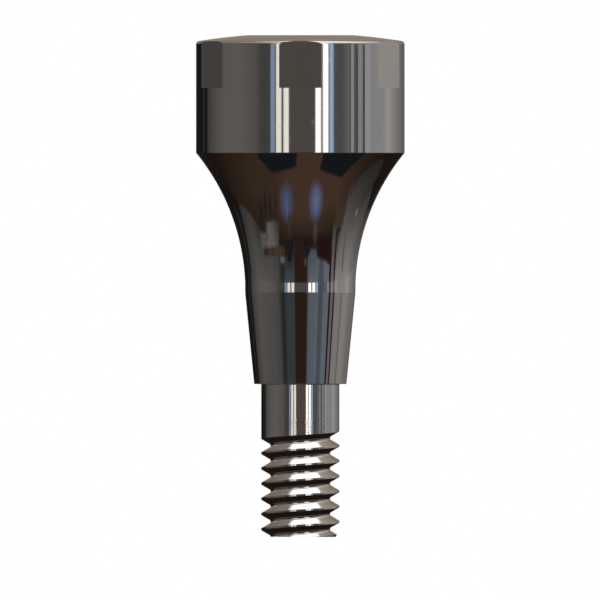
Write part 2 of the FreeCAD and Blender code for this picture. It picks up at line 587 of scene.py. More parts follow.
class PostLevels:
    """Levels and centres that follow from the post's sizes, in millimetres."""

    def __init__(self, s):
        self.groove_top = -s.cone_length - s.shank_length
        self.thread_end = self.groove_top - s.thread_length
        self.shank_ring = self.groove_top + SHANK_RING_PITCHES * s.thread_pitch
        self.head_bottom = s.band_length + s.flare_length
        self.top = self.head_bottom + s.head_height
        self.flats_bottom = self.top - s.flats_length
        self.dome_centre = self.top - math.sqrt(s.dome_r**2 - s.plateau_r**2)
        self.round_r = s.head_r - s.head_edge_round
        reach = s.dome_r - s.head_edge_round
        self.round_z = self.dome_centre + math.sqrt(reach**2 - self.round_r**2)
        self.round_end = math.atan2(self.round_z - self.dome_centre, self.round_r)
        low = np.array((s.cone_top_r, s.band_length))
        high = np.array((s.head_r, self.head_bottom))
        chord = high - low
        across = math.sqrt(s.flare_r**2 - (chord @ chord) / 4)
        self.flare_centre = (low + high) / 2 + np.array(outer_normal(chord)) * across

    def dome_at(self, s, r):
        return self.dome_centre + math.sqrt(s.dome_r**2 - r**2)


# The driver flats: the first one faces the camera
FLAT_COUNT = 6
FIRST_FLAT = -math.pi / 2


def turned_to(angles, target):
    """Angles as differences from a target, between minus and plus half a turn."""
    return (np.asarray(angles) - target + math.pi) % (2 * math.pi) - math.pi


def flat_azimuths():
    return [FIRST_FLAT + index * 2 * math.pi / FLAT_COUNT for index in range(FLAT_COUNT)]


def post_azimuths(s, columns):
    """Even azimuths from the run-out's start. Some move onto the flats' edges and the run-out's end."""
    azimuths = s.run_out_start + np.linspace(0, 2 * math.pi, columns, endpoint=False)
    edge = math.acos(s.flat_half_width / s.head_r)
    wanted = [normal + side * edge for normal in flat_azimuths() for side in (-1, 1)]
    wanted.append(s.run_out_start + run_out_angle(s))
    for target in wanted:
        nearest = int(np.argmin(np.abs(turned_to(azimuths, target))))
        azimuths[nearest] -= turned_to(azimuths[nearest], target)
    return azimuths


def run_out_angle(s):
    """The angle after which the lifting tool no longer touches the shank."""
    return 2 * math.pi * s.run_out_turn * s.thread_depth / s.tool_lift


def groove_samples(depth, s):
    """The groove's section from one crest's middle down to its root, for one depth.

    Each row holds the height above the groove's centre, the share of the depth, that share's
    slope against height, and how far the surface there follows the tool's lift."""
    tangent = math.tan(s.thread_half_angle)
    crest_flat = s.thread_pitch / 8
    root_half = (s.thread_pitch - crest_flat) / 2 - s.thread_depth * tangent
    spread = max(depth, LEAST_GROOVE)
    crest = np.array((root_half + spread * tangent, 0.0))
    root = np.array((root_half, 1.0))
    flank = spread / math.cos(s.thread_half_angle)
    crest_soft = min(CREST_SOFT, SHARE_OF_FLANK * flank)
    root_soft = min(ROOT_SOFT, SHARE_OF_FLANK * flank)
    down = (root - crest) / flank
    rows = [(s.thread_pitch / 2, 0.0, 0.0, 0.0)]
    for share, at, way in soft_curve(crest + (crest_soft, 0), crest, crest + down * crest_soft, CREST_STEPS):
        rows.append((*at, way[1] / way[0], share))
    rows.append((*((crest + root) / 2), down[1] / down[0], 1.0))
    for _, at, way in soft_curve(root - down * root_soft, root, root - (root_soft, 0), ROOT_STEPS):
        rows.append((*at, way[1] / way[0], 1.0))
    return rows


def whole_groove(depth, s):
    """The section from crest to crest, without the second crest's middle."""
    upper = groove_samples(depth, s)
    lower = [(-d, q, -slope, lift) for d, q, slope, lift in reversed(upper[1:])]
    return np.array(upper + lower)


def chamfer_end(radii, heights, s, levels):
    """Takes the rows of each column back to the chamfer's cone, and says which points lie on it.

    The point next to each crossing moves onto it, so that the mesh has an edge there."""
    slope = s.end_chamfer_width / s.end_chamfer_length
    end_r = s.thread_major_r - s.end_chamfer_width
    excess = radii - end_r - slope * (heights - levels.thread_end)
    on_cone = excess > 0
    for number, j in zip(*np.nonzero(on_cone[1:] != on_cone[:-1])):
        first, second = excess[number, j], excess[number + 1, j]
        share = first / (first - second)
        nearer = number + int(share > 0.5)
        radii[nearer, j] = radii[number, j] * (1 - share) + radii[number + 1, j] * share
        heights[nearer, j] = heights[number, j] * (1 - share) + heights[number + 1, j] * share
        excess[nearer, j] = 0.0
        on_cone[nearer, j] = True
    radii[on_cone] -= excess[on_cone]
    return on_cone


class ThreadRows:
    """The thread's groove as helical rows, each one step further down the groove's section."""

    def __init__(self, draft, s, levels):
        self.draft, self.s, self.levels = draft, s, levels
        self.turned = draft.azimuths - s.run_out_start
        self.rise = s.thread_pitch / (2 * math.pi)
        self.lift_rate = s.tool_lift / (2 * math.pi * s.run_out_turn)
        self.in_run_out = self.turned < run_out_angle(s) - SAME_ANGLE
        depths = np.maximum(s.thread_depth - self.lift_rate * self.turned, 0.0)
        self.run_out_depths = np.where(self.in_run_out, depths, 0.0)
        self.full = whole_groove(s.thread_depth, s)
        self.run_out = np.array([whole_groove(depth, s) for depth in self.run_out_depths])
        self.per_groove = len(self.full)
        self.total = math.ceil(s.thread_length / s.thread_pitch + SPARE_GROOVES) * self.per_groove

    def row(self, number):
        """Radius, level and both sets of normals of one row, one value for each column."""
        s, draft = self.s, self.draft
        groove, place = divmod(number, self.per_groove)
        if groove == 0:
            height, share, slope, lift = self.run_out[:, place].T
            depth = self.run_out_depths
        else:
            height, share, slope, lift = np.tile(self.full[place], (len(self.turned), 1)).T
            depth = np.full(len(self.turned), s.thread_depth)
        radius = s.thread_major_r - depth * share
        level = self.levels.groove_top + self.rise * self.turned - s.thread_pitch * groove + height
        along = -depth * slope
        normals = []
        for lifting in (0.0, self.lift_rate):
            round_part = -self.rise * along + lifting * lift
            side, up = radius, -radius * along
            x = side * draft.cosines + round_part * draft.sines
            y = side * draft.sines - round_part * draft.cosines
            normals.append(unit(np.column_stack((x, y, up))))
        return radius, level, normals


def end_radii(radii, heights, below, level):
    """The radius of each column where it meets the end face."""
    found = []
    for j, number in enumerate(below.argmax(axis=0)):
        above, under = heights[number - 1, j], heights[number, j]
        share = (above - level) / (above - under)
        found.append(radii[number - 1, j] * (1 - share) + radii[number, j] * share)
    return np.array(found)


def join_rows(draft, thread, rows, index, seam, chamfered, slot):
    """The thread's faces. The last column joins the first one, a groove higher."""
    s, count = thread.s, len(draft.azimuths)
    plain = draft.outward(1.0, 0.0)
    slant = math.hypot(s.end_chamfer_width, s.end_chamfer_length)
    cone = draft.outward(s.end_chamfer_length / slant, -s.end_chamfer_width / slant)

    def corner(number, j, lifting):
        """The point and the normal of one corner."""
        if j < count:
            return index[number, j], rows[number][2][lifting][j]
        before = number - thread.per_groove
        if before < 0:
            return seam[number], plain[0]
        return index[before, 0], rows[before][2][0][0]

    for number in range(thread.total):
        for j in range(count):
            lifting = int(number < thread.per_groove and thread.in_run_out[j])
            places = ((number + 1, j), (number + 1, j + 1), (number, j + 1), (number, j))
            corners, normals = zip(*(corner(*place, lifting) for place in places))
            if chamfered[number, j] and chamfered[number + 1, j]:
                k = (j + 1) % count
                normals = (cone[j], cone[k], cone[k], cone[j])
            draft.face(corners, normals, slot)


def join_shank(draft, top_row, seam, s, levels):
    """The plain faces above the thread. Returns the ring on the shank where they end."""
    count = len(draft.azimuths)
    plain = draft.outward(1.0, 0.0)
    shank = draft.ring(s.thread_major_r, levels.shank_ring)
    for j in range(1, count):
        k = (j + 1) % count
        corners = (top_row[j], top_row[k] if k else seam[0], shank[k], shank[j])
        draft.face(corners, (plain[j], plain[k], plain[k], plain[j]))
    ladder = [top_row[0], *seam[::-1], shank[0]]
    for lower, upper in zip(ladder, ladder[1:]):
        draft.face((lower, shank[1], upper), (plain[0], plain[1], plain[0]))
    draft.face((top_row[0], top_row[1], shank[1]), (plain[0], plain[1], plain[1]))
    return shank


def cut_thread(draft, s, levels, slot):
    """The helical groove from the end face up to its run-out. Returns the ring on the shank above it."""
    thread = ThreadRows(draft, s, levels)
    rows = [thread.row(number) for number in range(thread.total + 1)]
    radii = np.array([row[0] for row in rows])
    heights = np.array([row[1] for row in rows])
    chamfered = chamfer_end(radii, heights, s, levels)
    below = heights < levels.thread_end + SAME_LEVEL
    end_ring = draft.ring(end_radii(radii, heights, below, levels.thread_end), levels.thread_end)
    index = np.tile(end_ring, (thread.total + 1, 1))
    for number, j in zip(*np.nonzero(~below)):
        x, y = radii[number, j] * draft.cosines[j], radii[number, j] * draft.sines[j]
        index[number, j] = draft.point(x, y, heights[number, j])
    # The first column again, one groove higher: there the last column ends on the shank.
    first_x, first_y = draft.cosines[0] * s.thread_major_r, draft.sines[0] * s.thread_major_r
    seam_levels = heights[: thread.per_groove, 0] + s.thread_pitch
    seam = [draft.point(first_x, first_y, level) for level in seam_levels]
    join_rows(draft, thread, rows, index, seam, chamfered, slot)
    draft.cap(end_ring, levels.thread_end, -1, slot)
    return join_shank(draft, index[0], seam, s, levels)


def flat_planes(azimuths, s):
    """For each azimuth: the number of its flat or -1, the side's radius, and if it is inside a flat."""
    edge = math.acos(s.flat_half_width / s.head_r)
    owner = np.full(len(azimuths), -1)
    side_r = np.full(len(azimuths), s.head_r)
    inside = np.zeros(len(azimuths), bool)
    for number, normal in enumerate(flat_azimuths()):
        away = turned_to(azimuths, normal)
        mine = np.abs(away) < edge + SAME_ANGLE
        owner[mine] = number
        side_r[mine] = s.flat_half_width / np.cos(away[mine])
        inside |= np.abs(away) < edge - SAME_ANGLE
    return owner, side_r, inside


def round_edge(draft, ring, start, s, levels):
    """The round above the head's side and the flats. Returns the ring where the dome starts."""
    below, spoke = ring, start
    for step in range(1, EDGE_ROUND_STEPS + 1):
        following = start + (levels.round_end - start) * step / EDGE_ROUND_STEPS
        radius = levels.round_r + s.head_edge_round * np.cos(following)
        above = draft.ring(radius, levels.round_z + s.head_edge_round * np.sin(following))
        lower = draft.outward(np.cos(spoke), np.sin(spoke))
        upper = draft.outward(np.cos(following), np.sin(following))
        draft.band(below, above, lower, upper)
        below, spoke = above, following
    return below


def cut_flats(draft, ring, s, levels, flat_slot):
    """The head's upper side with its six flats and the edge round. Returns the ring where the dome starts."""
    count = len(draft.azimuths)
    owner, side_r, inside = flat_planes(draft.azimuths, s)
    ledge = ring.copy()
    for j in np.flatnonzero(inside):
        x, y = side_r[j] * draft.cosines[j], side_r[j] * draft.sines[j]
        ledge[j] = draft.point(x, y, levels.flats_bottom)
    up = draft.outward(0.0, 1.0)
    draft.band(ring, ledge, up, up, flat_slot)

    start = np.zeros(count)
    start[inside] = np.arccos((side_r[inside] - levels.round_r) / s.head_edge_round)
    tops = draft.ring(side_r, levels.round_z + s.head_edge_round * np.sin(start))
    side = draft.outward(1.0, 0.0)
    for j in range(count):
        k = (j + 1) % count
        corners = (ledge[j], ledge[k], tops[k], tops[j])
        if owner[j] >= 0 and owner[j] == owner[k]:
            azimuth = flat_azimuths()[owner[j]]
            normals = [(math.cos(azimuth), math.sin(azimuth), 0.0)] * 4
            draft.face(corners, normals, flat_slot)
        else:
            draft.face(corners, (side[j], side[k], side[k], side[j]))
    return round_edge(draft, tops, start, s, levels)


def check_box(piece, node):
    """The piece has to fill the box of the CAD node that it replaces."""
    low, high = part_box(node)
    corners = np.array([vertex.co for vertex in piece.data.vertices])
    worst = max(np.abs(corners.min(0) - low).max(), np.abs(corners.max(0) - high).max())
    if worst > BOX_TOLERANCE:
        raise RuntimeError(f"{piece.name} is {worst / MM:.4f} mm off the box of {node}")


def finish_piece(piece, node):
    check_box(piece, node)
    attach(piece, "root")
    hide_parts(node)


def stem_section(s, levels):
    """The outside from the shank above the thread up to the flats' lower ends."""
    stem = Section(s.thread_major_r, levels.shank_ring)
    stem.line_to(s.thread_major_r, -s.cone_length, SHOULDER_SOFT)
    stem.line_to(s.cone_bottom_r, -s.cone_length, s.edge_break)
    stem.line_to(s.cone_top_r, 0.0, s.edge_break, CONE_STEPS)
    stem.line_to(s.cone_top_r, s.band_length, s.edge_break)
    stem.arc_to(s.head_r, levels.head_bottom, levels.flare_centre, FLARE_STEPS, s.edge_break)
    stem.line_to(s.head_r, levels.flats_bottom)
    return stem


def land_section(s, inside, levels):
    """The narrow land of the dome outside the lid, and the recess's wall down to its ledge."""
    start_r = levels.round_r + s.head_edge_round * math.cos(levels.round_end)
    land = Section(start_r, levels.dome_at(s, start_r))
    rim = levels.dome_at(s, inside.recess_r)
    land.arc_to(inside.recess_r, rim, (0.0, levels.dome_centre), LAND_STEPS, WELD_EDGE_SOFT)
    land.line_to(inside.recess_r, inside.lid_seat)
    return land


def pocket_section(inside):
    """The ledge that carries the lid, and the magnet's pocket down to its floor."""
    centre_r = inside.pocket_r - inside.pocket_corner_r
    centre_z = inside.pocket_floor + inside.pocket_corner_r
    pocket = Section(inside.recess_r, inside.lid_seat)
    pocket.line_to(inside.pocket_r, inside.lid_seat)
    pocket.line_to(inside.pocket_r, centre_z)
    pocket.arc_to(centre_r, inside.pocket_floor, (centre_r, centre_z), POCKET_CORNER_STEPS)
    return pocket


class ABUTMENT_OT_build_post(bpy.types.Operator):
    """Builds the titanium post with its thread, flare and flats."""

    bl_idname = "abutment.build_post"
    bl_label = "Build post"
    bl_options = {"REGISTER", "UNDO"}

    def execute(self, context):
        scene = context.scene
        s, inside = in_mm(scene.post_sizes), in_mm(scene.inside_sizes)
        levels = PostLevels(s)
        draft = Draft(post_azimuths(s, scene.studio_settings.columns))
        polished, milled, turned = 0, 1, 2
        ring = cut_thread(draft, s, levels, turned)
        ring = draft.revolve(ring, stem_section(s, levels).runs(), polished)
        ring = cut_flats(draft, ring, s, levels, milled)
        ring = draft.revolve(ring, land_section(s, inside, levels).runs(), polished)
        ring = draft.revolve(ring, pocket_section(inside).runs(), turned)
        draft.cap(ring, inside.pocket_floor, 1, turned)

        tones = scene.finish_tones
        materials = [polished_titanium(tones), milled_titanium(tones), turned_titanium(tones)]
        piece = draft.to_object("titanium_post", materials)
        finish_piece(piece, "abutment_body")
        # The grooves mirror the studio, and not each other over and over.
        piece.visible_glossy = False
        return {"FINISHED"}


class ABUTMENT_OT_build_lid(bpy.types.Operator):
    """Builds the domed lid that closes the pocket."""

    bl_idname = "abutment.build_lid"
    bl_label = "Build lid"
    bl_options = {"REGISTER", "UNDO"}

    def execute(self, context):
        scene = context.scene
        s, inside = in_mm(scene.post_sizes), in_mm(scene.inside_sizes)
        levels = PostLevels(s)
        draft = Draft(post_azimuths(s, scene.studio_settings.columns))
        inner_r = inside.lid_r - LID_FAN_INSET
        section = Section(inner_r, inside.lid_seat)
        section.line_to(inside.lid_r, inside.lid_seat, LID_CORNER_SOFT)
        section.line_to(inside.lid_r, levels.dome_at(s, inside.lid_r), WELD_EDGE_SOFT)
        section.arc_to(s.plateau_r, levels.top, (0.0, levels.dome_centre), DOME_STEPS, PLATEAU_SOFT)
        section.line_to(PLATEAU_FAN_R, levels.top, steps=PLATEAU_STEPS)
        ring = draft.ring(inner_r, inside.lid_seat)
        draft.cap(ring, inside.lid_seat, -1)
        ring = draft.revolve(ring, section.runs())
        draft.cap(ring, levels.top, 1)
        piece = draft.to_object("domed_lid", [lid_titanium(scene.finish_tones, scene.inside_sizes)])
        finish_piece(piece, "lid")
        return {"FINISHED"}


class ABUTMENT_OT_build_magnet(bpy.types.Operator):
    """Builds the magnet that is sealed in the head."""

    bl_idname = "abutment.build_magnet"
    bl_label = "Build magnet"
    bl_options = {"REGISTER", "UNDO"}

    def execute(self, context):
        scene = context.scene
        inside = in_mm(scene.inside_sizes)
        draft = Draft(np.linspace(0, 2 * math.pi, MAGNET_COLUMNS, endpoint=False))
        low, high = inside.pocket_floor, inside.pocket_floor + inside.magnet_height
        face_r = inside.magnet_r - inside.magnet_chamfer
        inner_r = face_r - MAGNET_FAN_INSET
        section = Section(inner_r, low)
        section.line_to(face_r, low, MAGNET_SOFT)
        section.line_to(inside.magnet_r, low + inside.magnet_chamfer, MAGNET_SOFT)
        section.line_to(inside.magnet_r, high - inside.magnet_chamfer, MAGNET_SOFT)
        section.line_to(face_r, high, MAGNET_SOFT)
        section.line_to(inner_r, high)
        ring = draft.ring(inner_r, low)
        draft.cap(ring, low, -1)
        ring = draft.revolve(ring, section.runs())
        draft.cap(ring, high, 1)
        piece = draft.to_object("sealed_magnet", [magnet_alloy(scene.finish_tones)])
        finish_piece(piece, "magnet")
        return {"FINISHED"}


# Studio

# How much nearer each layer of cards is, the widest step in degrees on a card, and the points across
# a pool of light
LAYER_STEP = 0.03
CARD_STEP = 4.0
POOL_POINTS = 21

FLOOR_HALF_WIDTH = 0.4

# The lamps' azimuths and elevations in degrees, and how wide their light spreads
KEY_PLACE = (-35, 58)
FILL_PLACE = (60, 40)
LAMP_ANGLE = math.radians(50)

# Linear tones of the studio's cards. The polished titanium mirrors about half of them.
TONES = {
    "black": (0.012, 0.012, 0.012),
    "pillar": (0.12, 0.11, 0.115),
    "cool_dark": (0.12, 0.13, 0.15),
    "cool_grey": (0.20, 0.22, 0.26),
    "moss_grey": (0.36, 0.41, 0.42),
    "mist": (0.46, 0.51, 0.60),
    "silver": (0.40, 0.42, 0.46),
    "plaster": (0.53, 0.53, 0.53),
    "low_cool": (0.135, 0.15, 0.175),
    "steel": (0.10, 0.125, 0.155),
    "walnut": (0.040, 0.021, 0.018),
    "slate": (0.19, 0.24, 0.32),
    "slate_shade": (0.11, 0.13, 0.165),
    "wine": (0.034, 0.010, 0.017),
    # The board tones are one floor board's tone in more or less light: board_lit is lit, and board_dim and
    # the side, far, back and end tones are painted shade.
    "rose": (0.28, 0.24, 0.26),
    "board": (0.093, 0.056, 0.040),
    "board_lit": (0.25, 0.19, 0.145),
    "board_dim": (0.062, 0.040, 0.029),
    "board_side": (0.037, 0.025, 0.017),
    "board_far_shade": (0.038, 0.024, 0.019),
    "board_back": (0.019, 0.012, 0.0095),
    "board_end_shade": (0.017, 0.010, 0.009),
    "board_foot": (0.084, 0.064, 0.056),
    "rug": (0.012, 0.016, 0.020),
    "linen": (0.20, 0.21, 0.21),
    "amber": (0.10, 0.062, 0.048),
    "sky": (0.34, 0.47, 0.72),
    "bright_sky": (0.58, 0.88, 1.36),
    "cream": (1.40, 1.42, 1.37),
    "tan": (0.56, 0.52, 0.48),
    "tan_shade": (0.34, 0.32, 0.29),
    "back_tan": (0.24, 0.20, 0.165),
    "far_tan": (0.30, 0.25, 0.205),
    "warm_tan": (0.53, 0.47, 0.39),
}


def upright(*stations, low=-4, high=36):
    """Stations of a card with level ends, from pairs of an azimuth and a tone."""
    return tuple((azimuth, low, high, tone) for azimuth, tone in stations)


def strip(left, right, tone, low=-4, high=36):
    """Stations of a card with level ends and one tone, between two azimuths."""
    return upright((left, tone), (right, tone), low=low, high=high)


def even(tone, *stations):
    """Stations of a card with one tone, each from its azimuth and two elevations."""
    return tuple((*station, tone) for station in stations)


def standing(low, *stations):
    """Stations of a card with a level lower end, each from its azimuth, upper elevation and tone."""
    return tuple((azimuth, low, high, tone) for azimuth, high, tone in stations)


def hanging(high, *stations):
    """Stations of a card with a level upper end, each from its azimuth, lower elevation and tone."""
    return tuple((azimuth, low, high, tone) for azimuth, low, tone in stations)


# The cards glow and paint the room that the polished metal mirrors, with the light and shade of its windows,
# walls and floor painted into their tones.
# Each card: name, layer from the outside in, and its stations. A station is an azimuth from the
# camera's side, positive to the right, the lowest and highest elevation, and the tone there: a name,
# a plain grey level, or one for the low end and one for the high end.
CARDS = (
    ("ceiling", 0, upright(
        (-180, "tan_shade"), (-150, 0.32), (-117, 0.31), (-92, 0.44), (-70, 0.5), (-53, 0.68), (-42, 0.92),
        (-25, 1.15), (0, 1.3), (40, 1.4), (75, 1.55), (95, (1.2, 1.8)), (112, (0.75, 1.9)),
        (140, (0.8, 1.9)), (156, "tan"), (180, "tan"), low=34, high=90,
    )),
    ("room_shade", 0, strip(-180, 180, 0.02, low=-44)),
    ("floor_near", 1, upright(
        (-180, "board_back"), (-138, "board_back"), (-120, "board_side"), (-90, "board_dim"),
        (-62, "board_dim"), (-20, "board"), (72, "board"), (92, "board_dim"), (115, "board_side"),
        (140, "board_back"), (180, "board_back"), low=-90, high=-42,
    )),
    ("floor_far", 1, standing(
        -42, (-180, -4, "board_back"), (-138, -4, "board_back"), (-122, -18, "board_side"),
        (-90, -25, ("board_dim", "board_side")), (-62, -26, ("board_dim", "board_far_shade")),
        (-20, -26, ("board", "board_far_shade")), (40, -26, ("board", "board_far_shade")),
        (66, -27, ("board", "board_far_shade")), (72, -25.5, ("board", "board_foot")),
        (84, -25.5, ("board_dim", "board_foot")), (90, -33, ("board_dim", "board_foot")),
        (112, -34, "board_side"), (140, -18, "board_back"), (180, -4, "board_back"),
    )),
    ("floor_edge", 1.5, even(("board_far_shade", "board_end_shade"), (-16, -29.5, -25), (52, -28.5, -23.5))),
    ("corner_left", 2, even("black", (-180, -6, 3), (-165, -10, 4), (-150, -17, 5), (-126, -24, 5))),
    ("corner_gleam", 3, upright(
        (-140, 0.018), (-136, 0.034), (-133, 0.034), (-131.5, 0.018), low=-17, high=5,
    )),
    ("wall_left", 2, upright(
        (-127, 0.05), (-121, 0.09), (-108, 0.14), (-92, 0.18), (-75, 0.19), (-52, 0.15), (-44, 0.095),
    )),
    ("curtain_left", 2, strip(-44, -33, 0.09)),
    ("sky_left", 2, strip(-33, -28.4, "sky")),
    ("frame_left", 2, strip(-28.4, -26.8, 0.12)),
    ("window_left", 2, upright((-26.8, "cream"), (-17, "cream"), (-12.8, 1.55), low=-3.5)),
    ("bar_left", 3, strip(-20.9, -18.5, 0.1)),
    ("pillar", 2, strip(-12.8, 16.8, "pillar")),
    ("window_right", 2, strip(16.8, 31.1, "daylight", low=-3.5)),
    ("bar_right", 3, strip(22.7, 25.2, 0.3)),
    ("frame_right", 2, strip(31.1, 32.4, "cool_grey")),
    ("sky_right", 2, upright((32.4, "sky"), (34.6, "bright_sky"), (37.4, "sky"))),
    ("curtain_right", 2, upright(
        (37.4, "cool_dark"), (47.5, "cool_dark"), (53, 0.19), (56.5, "cool_grey"),
    )),
    ("door_frame", 2, strip(56.5, 58.2, 0.13)),
    ("door_edge", 2, upright((58.2, "mist"), (61.6, "silver"))),
    ("door", 2, upright((61.6, "cool_grey"), (66.9, 0.045))),
    ("side_panel", 2, strip(66.9, 73.5, "moss_grey")),
    ("side_panel_edge", 2, upright((73.5, 0.08), (76.4, 0.1))),
    ("wall_right", 2, upright(
        (76.4, "mist"), (82, "mist"), (88, 0.38), (92, "silver"), (104, "silver"), (115, "plaster"),
        (124, 0.4), (140, 0.265), (152, 0.2), (163, 0.13), (180, 0.09),
    )),
    ("upper_left", 3, (
        (-152, 7, 36, (0.12, 0.3)), (-120, 8, 36, (0.12, 0.3)), (-72, 8, 37, (0.11, 0.28)),
        (-58, 8, 38, (0.1, 0.19)), (-33.4, 8, 38, (0.08, 0.14)),
    )),
    ("upper_pillar", 3, strip(-12.6, 16.2, (0.2, 0.48), low=8)),
    ("upper_right", 3, standing(
        6, (37.4, 38, (0.18, 0.14)), (60, 38, (0.24, 0.17)), (76, 36, (0.34, 0.5)), (100, 36, (0.46, 0.56)),
        (124, 36, (0.56, 0.76)), (152, 36, (0.38, 0.62)),
    )),
    ("upper_panel", 4, ((-148, 20, 31, 1.1), (-124, 22, 33, 1.2))),
    ("back_strip", 3, ((-177, -9, 4, 0.13), (-170, -9, 4, 0.1))),
    ("back_wall", 3, hanging(
        19, (150, 4, 0.28), (170, 4, "far_tan"), (174, 0.5, "far_tan"), (186, 0.5, "far_tan"),
        (190, 4, "far_tan"), (210, 4, 0.21),
    )),
    ("back_wall_top", 3, standing(
        19, (135, 40, 0.3), (150, 45, (0.3, "warm_tan")), (170, 45, ("back_tan", "warm_tan")),
        (185, 45, ("back_tan", "tan_shade")), (215, 45, (0.16, "tan_shade")),
    )),
    ("low_wall_left", 2, hanging(
        -4, (-126, -21, 0.02), (-121, -23.5, (0.06, 0.09)), (-112, -26, (0.078, 0.115)),
        (-100, -27, (0.08, 0.16)), (-84, -25.5, (0.045, 0.165)), (-64, -22, (0.1, "low_cool")),
        (-48, -20, (0.09, 0.12)), (-40, -18, (0.03, 0.06)), (-37, -18, 0.03),
    )),
    ("low_shelf_left", 2, hanging(
        -4, (-37, -18, (0.018, 0.035)), (-29, -20, (0.018, "steel")), (-18, -20, (0.02, "steel")),
        (-11.5, -20, (0.045, 0.1)),
    )),
    ("shelf_end", 2, ((-13.5, -27.5, -20, 0.035), (-11, -27.5, -20, 0.06))),
    ("pillar_foot", 2, even("walnut", (-11, -27, -4), (6, -27, -4), (9, -22, -4), (15.2, -14, -4))),
    ("pillar_gleam", 3, ((7.5, -17, -13.5, 0.06), (12, -17, -13.5, 0.13))),
    ("low_panel_right", 2, hanging(
        -4, (14, -16, "slate_shade"), (21, -21.5, ("slate_shade", "slate")),
        (32, -21.5, ("slate_shade", "slate")), (35, -16.5, "slate"), (41, -16, "slate_shade"),
        (47, -15, "slate_shade"), (52, -14, "slate"), (62.5, -12, "slate"),
    )),
    ("drape", 3, even("wine", (37.5, -25.5, -16.5), (59, -24, -14))),
    ("drape_edge", 3, upright((62.5, 0.02), (64, "wine"), (67, "wine"), low=-19, high=-4)),
    ("low_frame", 2, ((66, -31, -4, (0.07, "rose")), (73.5, -27, -4, (0.1, "rose")))),
    ("low_frame_edge", 3, standing(-27, (73.5, -4, 0.025), (77, -4, 0.03), (78, -12, 0.03))),
    ("low_wall_right", 2, hanging(
        -4, (77, -24, (0.06, "silver")), (82, -24, (0.1, "silver")), (87, -24, (0.18, 0.38)),
        (96, -24, (0.18, 0.38)), (110, -24, (0.11, 0.42)), (118, -24, (0.08, 0.38)),
        (134.5, -24, (0.045, 0.24)), (146, -13, (0.05, 0.2)), (160, -8, (0.04, 0.14)), (180, -5, 0.06),
    )),
    ("wall_right_foot", 2, hanging(
        -24, (82, -24, 0.08), (89, -31, (0.12, 0.18)), (91, -41, (0.055, 0.18)), (110, -40, (0.05, 0.11)),
        (130, -36, (0.032, 0.05)), (138, -30, 0.04),
    )),
    ("wall_seam", 3, ((95, -24, -8, 0.13), (99, -24, -6, 0.2))),
    ("wall_gleam", 3, strip(113, 117, 0.34, low=-24.3, high=-22)),
    ("light_board", 3, (
        (-84, -23, -16.5, 0.13), (-77, -24, -17, 0.16), (-69.5, -25.5, -18, 0.15),
        (-68, -30.5, -18.2, "linen"), (-56, -33, -20, (0.16, "linen")), (-50, -34.5, -21, (0.08, 0.18)),
        (-43, -34, -22.5, 0.08),
    )),
    ("board_slit", 4, even(0.08, (-68, -29, -22), (-66, -30, -22))),
    ("warm_chest", 4, (
        (-78, -18, -14.5, 0.035), (-66, -19.5, -15.5, "amber"), (-42, -22.5, -17.5, "amber"),
        (-31, -22.5, -18.5, 0.05),
    )),
    ("chest_slit_left", 5, strip(-71.5, -69, 0.03, low=-18.8, high=-15)),
    ("chest_slit_right", 5, strip(-58.5, -56.5, 0.045, low=-20.5, high=-16.2)),
    ("shelf_slot", 3, strip(-24.5, -19.5, 0.012, low=-19.6, high=-15)),
    ("pale_patch", 4, upright((-42, 0.13), (-37, 0.21), (-31, 0.12), low=-17.2, high=-13.8)),
    ("rug_left", 3, even(
        "rug", (-89.5, -68, -62.5), (-85.5, -71, -61.1), (-73.5, -75, -61), (-56.7, -78.5, -59.5),
        (-33.1, -80, -65.3), (-9.9, -81, -68.9),
    )),
    ("rug_right", 3, even(
        "rug", (41.8, -65, -64.2), (60.1, -72.8, -57.9), (76.5, -74, -51.4), (95, -66, -51.7),
        (114.6, -56, -49.5),
    )),
    ("under_boards", 2, standing(
        -90, (-101, -62, ("board_lit", "board_dim")), (-81, -71, ("board_lit", "board_dim")),
        (-51, -78, ("board_lit", "board")), (0, -81, ("board_lit", "board")),
        (51, -78, ("board_lit", "board")), (81, -71, ("board_lit", "board_dim")),
        (101, -62, ("board_lit", "board_dim")),
    )),
    ("back_boards", 2, standing(
        -90, (101, -62, ("board_lit", "board_dim")), (124, -48, "board_lit"), (143, -34, "board_lit"),
        (150, -31, "board_lit"), (152.5, -66, "board_lit"), (164, -69, "board_lit"),
        (180, -73, "board_lit"), (196, -69, "board_lit"), (207.5, -66, "board_lit"),
        (210, -31, "board_lit"), (217, -34, "board_lit"), (236, -48, "board_lit"),
        (259, -62, ("board_lit", "board_dim")),
    )),
    ("back_light", 3, even(
        "back_tan", (170, -43, -33), (173, -46, -25), (176.5, -47, -3), (183.5, -47, -3), (187, -46, -25),
        (190, -43, -33),
    )),
    ("softbox", 4, even("daylight", (155, 51.1, 78), (180, 51.1, 78), (190, 53, 78), (204, 53, 78))),
)

